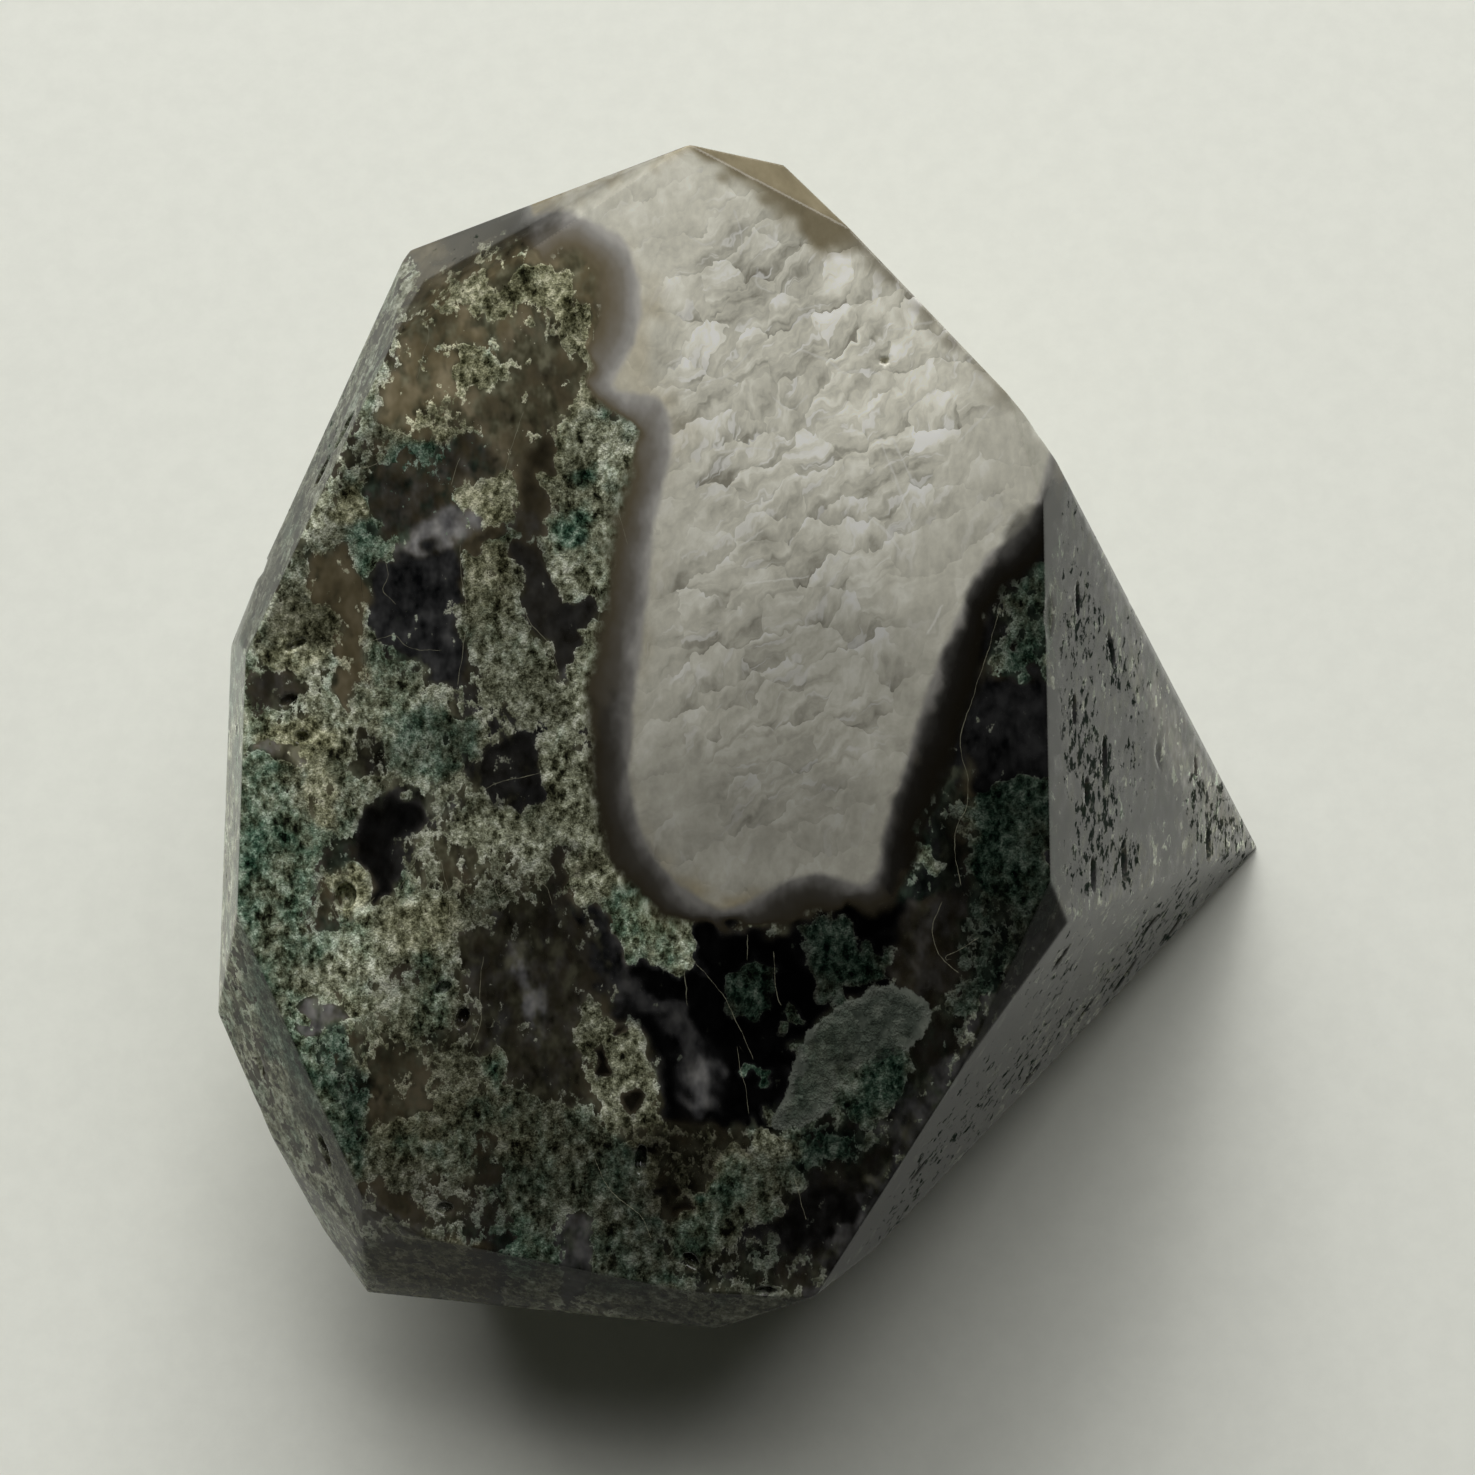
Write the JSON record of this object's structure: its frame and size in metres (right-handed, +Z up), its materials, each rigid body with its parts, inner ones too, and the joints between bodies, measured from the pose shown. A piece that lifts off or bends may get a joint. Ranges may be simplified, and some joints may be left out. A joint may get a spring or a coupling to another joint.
{
  "type": "polished moss agate freeform",
  "caption": "Polished faceted freeform of moss agate with a crystal quartz window, resting on a flat ground foot.",
  "frame": {"origin": "middle of the stone's bounding box, on the surface it rests on", "axes": "+Z up, +X towards the pointed end, -Y towards the low front edge of the display face"},
  "size_m": [0.0777, 0.0743, 0.0515],
  "materials": {
    "moss_agate": "polished stone: dark green mossy agate with a pale crystal quartz body, clear gloss"
  },
  "bodies": {
    "root": {"moss_agate_stone": "moss_agate"}
  },
  "joints": []
}
